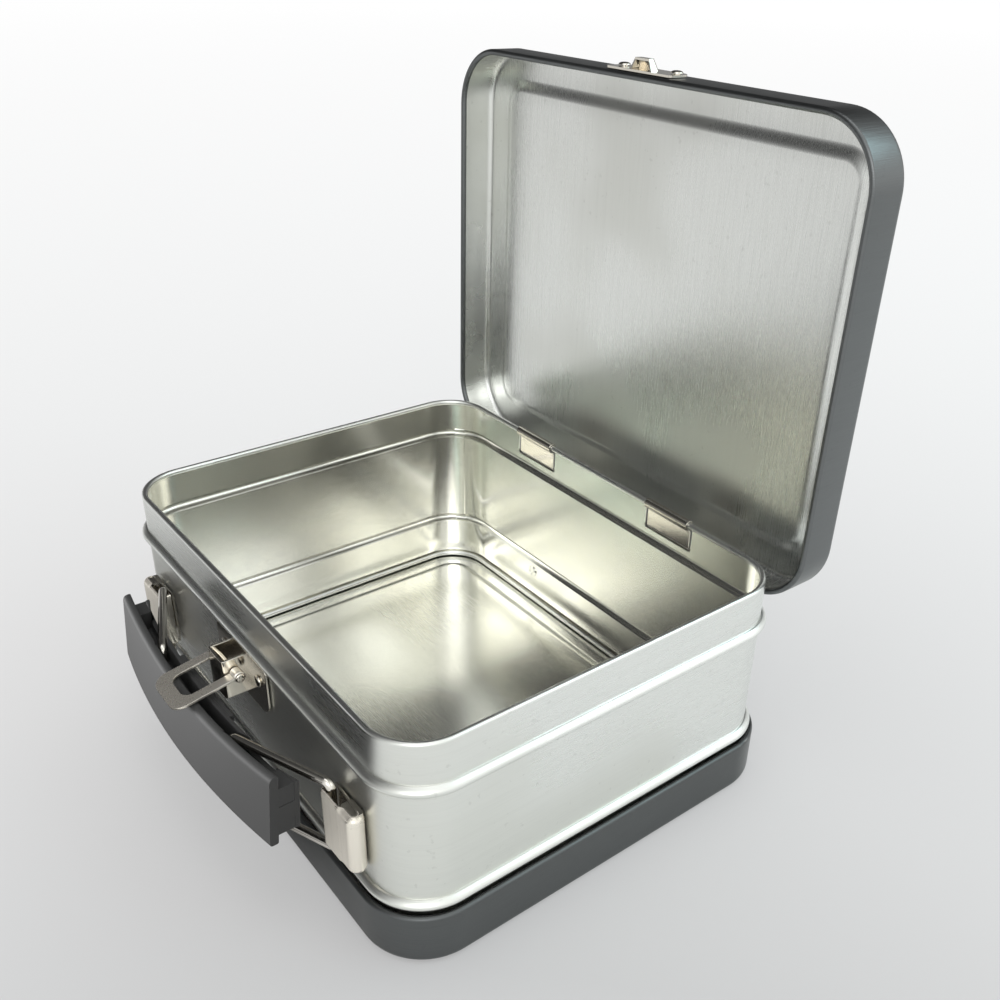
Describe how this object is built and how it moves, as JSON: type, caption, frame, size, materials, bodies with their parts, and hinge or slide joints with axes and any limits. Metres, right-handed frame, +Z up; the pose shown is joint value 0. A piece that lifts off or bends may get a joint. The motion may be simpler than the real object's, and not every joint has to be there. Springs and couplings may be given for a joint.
{
  "type": "lunch box",
  "caption": "Rectangular tin lunch box with rounded corners, hinged lid, swinging loop latch and a bowed plastic handle on wire rings.",
  "frame": {"origin": "centre of the flat recessed panel in the base's underside, 1.3 mm above the plane that the box stands on", "axes": "+X along the latch side, +Y towards the hinge side, +Z up"},
  "size_m": [0.2, 0.2001, 0.2319],
  "materials": {
    "tinplate": "bright brushed tinplate",
    "nickel": "bright nickel plate",
    "wire": "nickel plated wire",
    "black_plastic": "satin moulded plastic"
  },
  "bodies": {
    "tin": {"body_band": "tinplate", "bottom_pan": "tinplate", "hinge_strap_left": "nickel", "hinge_strap_right": "nickel", "latch_base": "nickel", "latch_pivot_pin": "nickel", "latch_rivet_1": "nickel", "latch_rivet_2": "nickel", "handle_bracket_left": "nickel", "handle_bracket_right": "nickel", "bracket_rivet_1": "nickel", "bracket_rivet_2": "nickel", "bracket_rivet_3": "nickel", "bracket_rivet_4": "nickel"},
    "lid": {"lid_pan": "tinplate", "hinge_pin_left": "nickel", "hinge_pin_right": "nickel", "keeper": "nickel", "keeper_rivet_1": "nickel", "keeper_rivet_2": "nickel"},
    "loop": {"latch_loop": "nickel"},
    "grip": {"handle_grip": "black_plastic"},
    "ring_left": {"wire_ring_left": "wire"},
    "ring_right": {"wire_ring_right": "wire"}
  },
  "joints": [
    {"name": "lid_hinge", "type": "hinge", "parent": "tin", "child": "lid", "pos_m": [0, 0.0789, 0.0671], "axis": [1, 0, 0], "range_deg": [0, 90.7]},
    {"name": "latch_swing", "type": "hinge", "parent": "tin", "child": "loop", "pos_m": [0, -0.0825, 0.05695], "axis": [-1, 0, 0], "range_deg": [0, 100]},
    {"name": "handle_slide", "type": "slide", "parent": "tin", "child": "grip", "axis": [0, 1, 0], "range_m": [0, 0.0028]},
    {"name": "ring_left_turn", "type": "hinge", "parent": "grip", "child": "ring_left", "pos_m": [-0.0274, -0.0942, 0.0382], "axis": [0, 0, 1], "range_deg": [0, 4.4]},
    {"name": "ring_right_turn", "type": "hinge", "parent": "grip", "child": "ring_right", "pos_m": [0.0274, -0.0942, 0.0382], "axis": [0, 0, -1], "range_deg": [0, 4.4]}
  ],
  "couplings": [
    {"joint": "ring_left_turn", "follows": "handle_slide", "rad_per_m": 27.31},
    {"joint": "ring_right_turn", "follows": "handle_slide", "rad_per_m": 27.31}
  ]
}
